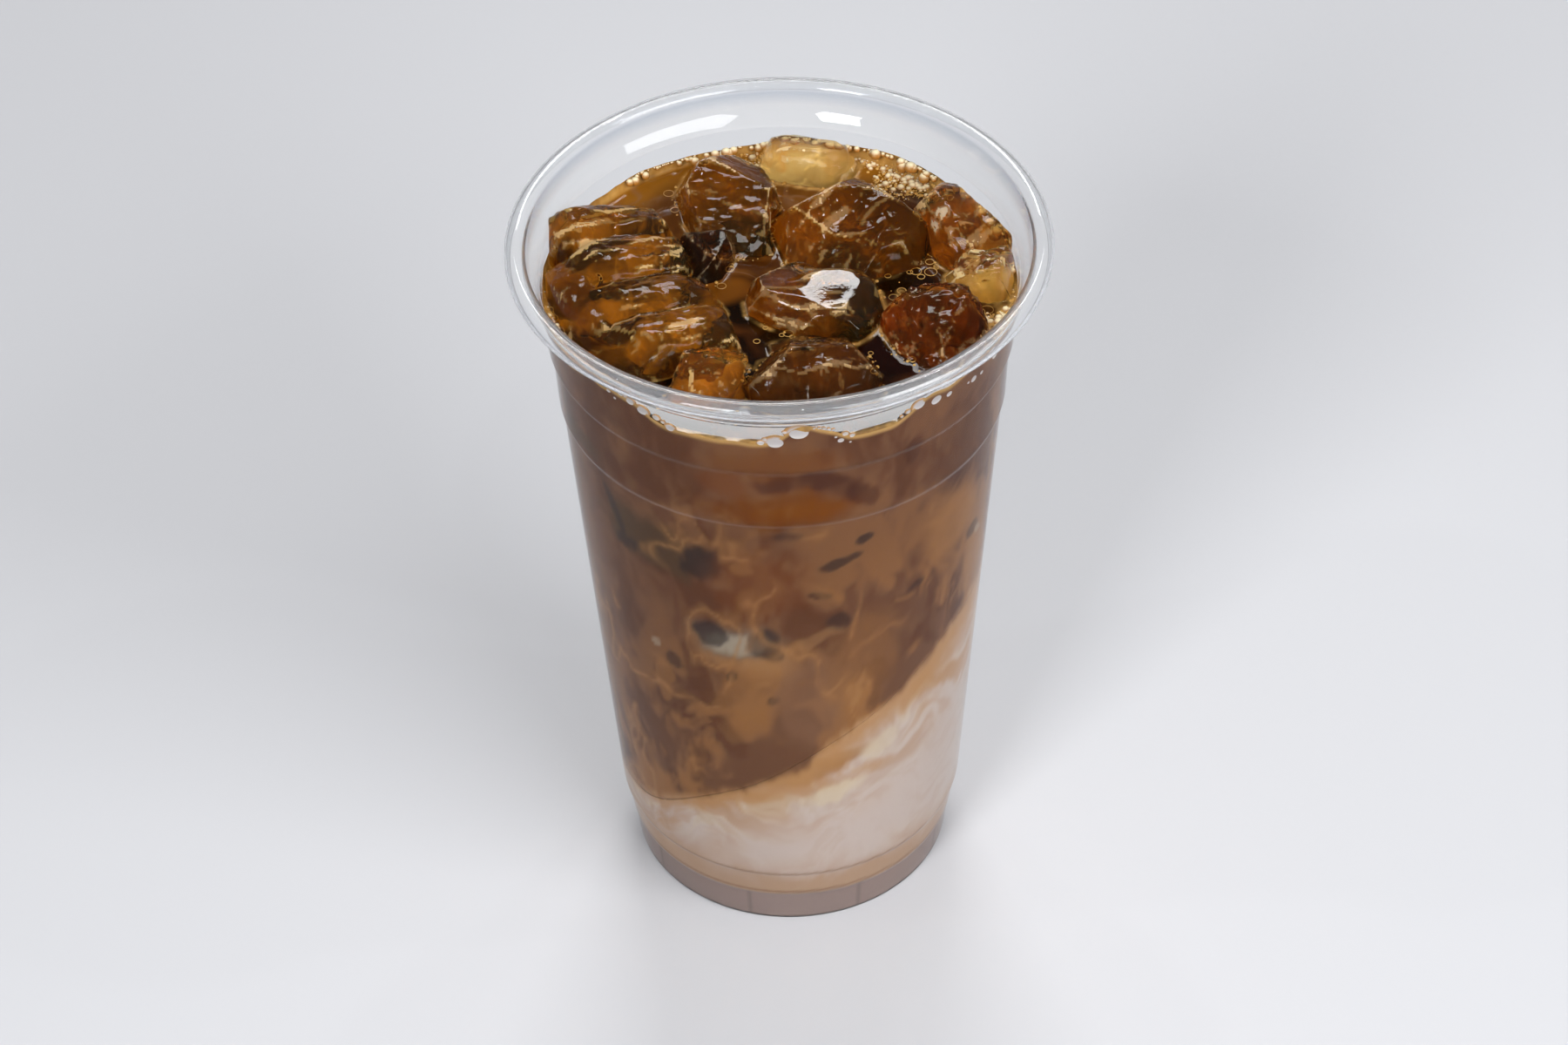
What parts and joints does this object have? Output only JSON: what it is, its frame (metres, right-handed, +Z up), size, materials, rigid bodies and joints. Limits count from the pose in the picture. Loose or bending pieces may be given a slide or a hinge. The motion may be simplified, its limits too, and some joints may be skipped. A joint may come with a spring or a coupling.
{
  "type": "iced coffee in a cup",
  "caption": "Tall clear plastic to-go cup of iced coffee over a slanted layer of condensed milk, with melting ice breaking the surface.",
  "frame": {"origin": "centre of the cup's foot, on the table", "axes": "+Z up along the cup's axis; -Y is the side that faces the viewer in the picture"},
  "size_m": [0.098, 0.098, 0.148],
  "materials": {
    "cup": "clear, glossy",
    "milk": "smooth, wet",
    "coffee": "smooth, wet",
    "ice": "wet, clear, tinted by the coffee"
  },
  "bodies": {
    "root": {"cup": "cup", "milk_layer": "milk", "coffee": "coffee", "ice_ribbed": "ice", "ice_broad": "ice", "ice_rear_left": "ice", "ice_middle": "ice", "ice_rear_right": "ice", "ice_right_front": "ice", "ice_front": "ice", "ice_right": "ice", "ice_front_left": "ice", "ice_rear": "ice", "ice_small": "ice", "ice_low": "ice", "ice_chip": "ice"}
  },
  "joints": []
}
